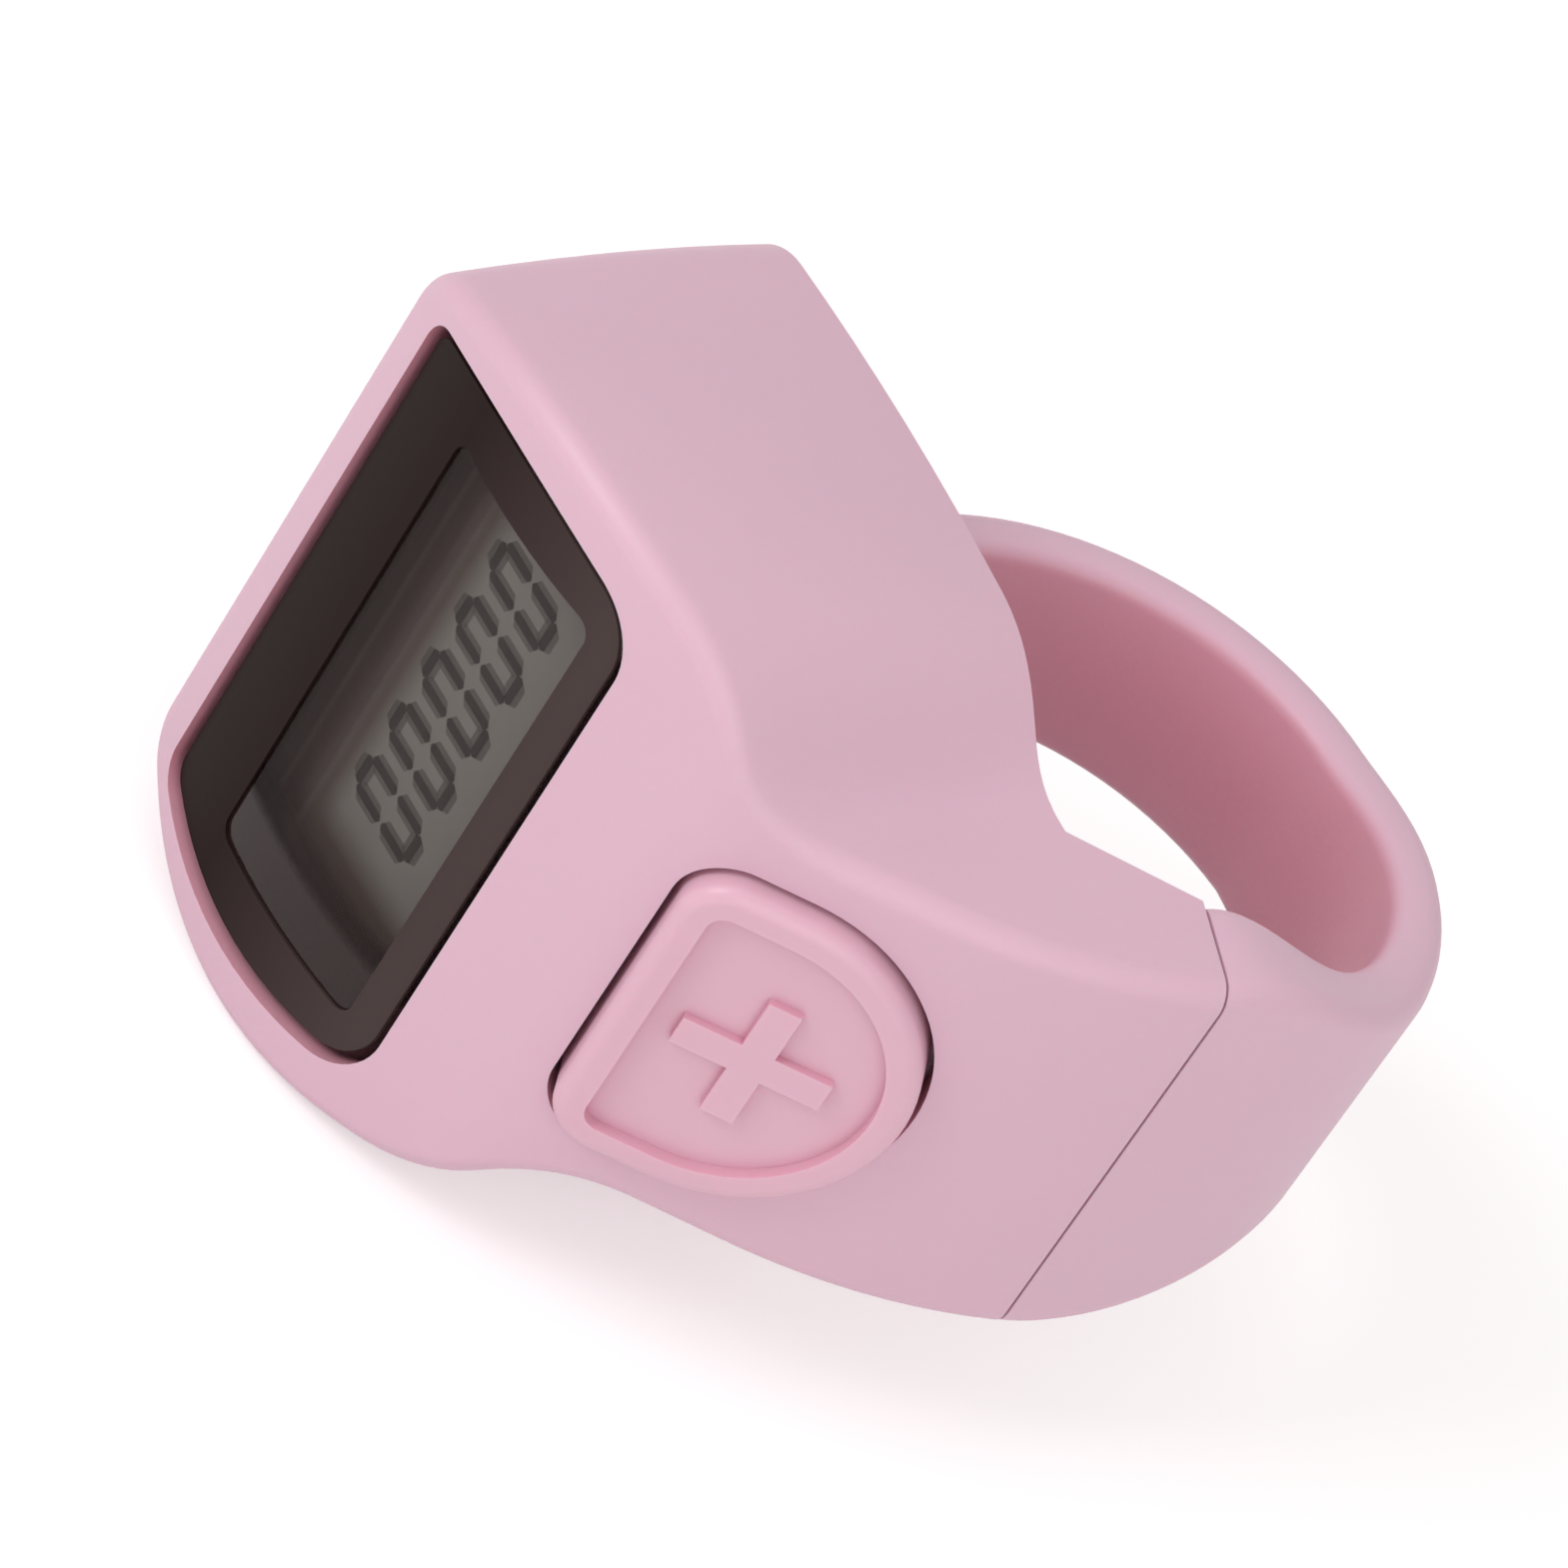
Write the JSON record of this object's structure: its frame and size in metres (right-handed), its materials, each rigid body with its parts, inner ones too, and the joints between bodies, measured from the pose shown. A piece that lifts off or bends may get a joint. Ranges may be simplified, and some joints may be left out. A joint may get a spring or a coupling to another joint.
{
  "type": "digital tally counter",
  "caption": "Finger-worn digital tally counter: a wedge housing with a curved display window, a large press button and a finger ring.",
  "frame": {"origin": "centre of the finger ring's circle, halfway along the counter", "axes": "+Z along the finger opening, -Y out of the display, +X from the display towards the count button"},
  "size_m": [0.0296, 0.0321, 0.0266],
  "materials": {
    "pink_plastic": "satin moulded plastic",
    "pink_button": "satin moulded plastic",
    "lens_acrylic": "polished smoked acrylic",
    "mask_film": "black print on clear film",
    "tape_black": "foam glue tape",
    "lcd_glass": "thin display glass",
    "reflector_foil": "grey reflector foil",
    "holder_white": "moulded white plastic",
    "zebra_rubber": "silicone with carbon layers",
    "board_green": "glass fibre board with solder mask",
    "chip_resin": "black potting resin",
    "quartz_can": "plated can",
    "capacitor_ceramic": "ceramic body",
    "screw_steel": "plated steel",
    "battery_can": "nickel-plated can",
    "contact_metal": "spring bronze, plated",
    "switch_black": "moulded switch housing",
    "stem_plastic": "moulded plunger",
    "wire_red": "insulated wire",
    "reset_plastic": "satin moulded plastic"
  },
  "bodies": {
    "case": {"front_shell": "pink_plastic", "ring_and_back_cover": "pink_plastic", "battery_cover": "pink_plastic", "battery_cover_screw": "screw_steel", "case_screw_1": "screw_steel", "case_screw_2": "screw_steel", "board_screw_1": "screw_steel", "board_screw_2": "screw_steel", "display_lens": "lens_acrylic", "display_mask": "mask_film", "lens_tape": "tape_black", "lcd_front_glass": "lcd_glass", "lcd_rear_glass": "lcd_glass", "lcd_reflector": "reflector_foil", "lcd_holder": "holder_white", "zebra_strip": "zebra_rubber", "circuit_board": "board_green", "chip_cover": "chip_resin", "quartz": "quartz_can", "capacitor_1": "capacitor_ceramic", "capacitor_2": "capacitor_ceramic", "capacitor_3": "capacitor_ceramic", "battery": "battery_can", "battery_contact_plus": "contact_metal", "battery_contact_minus": "contact_metal", "count_switch": "switch_black", "switch_board": "board_green", "switch_lead_1": "wire_red", "switch_lead_2": "wire_red", "reset_switch": "switch_black"},
    "count_key": {"count_button": "pink_button", "count_switch_stem": "stem_plastic"},
    "reset_key": {"reset_button": "reset_plastic", "reset_switch_stem": "stem_plastic"}
  },
  "joints": [
    {"name": "count_press", "type": "slide", "parent": "case", "child": "count_key", "axis": [-0.7431, 0.6691, 0], "range_m": [0, 0.0004], "stiffness_N_per_m": 400},
    {"name": "reset_press", "type": "slide", "parent": "case", "child": "reset_key", "axis": [1, 0, 0], "range_m": [0, 0.0003], "stiffness_N_per_m": 400}
  ]
}
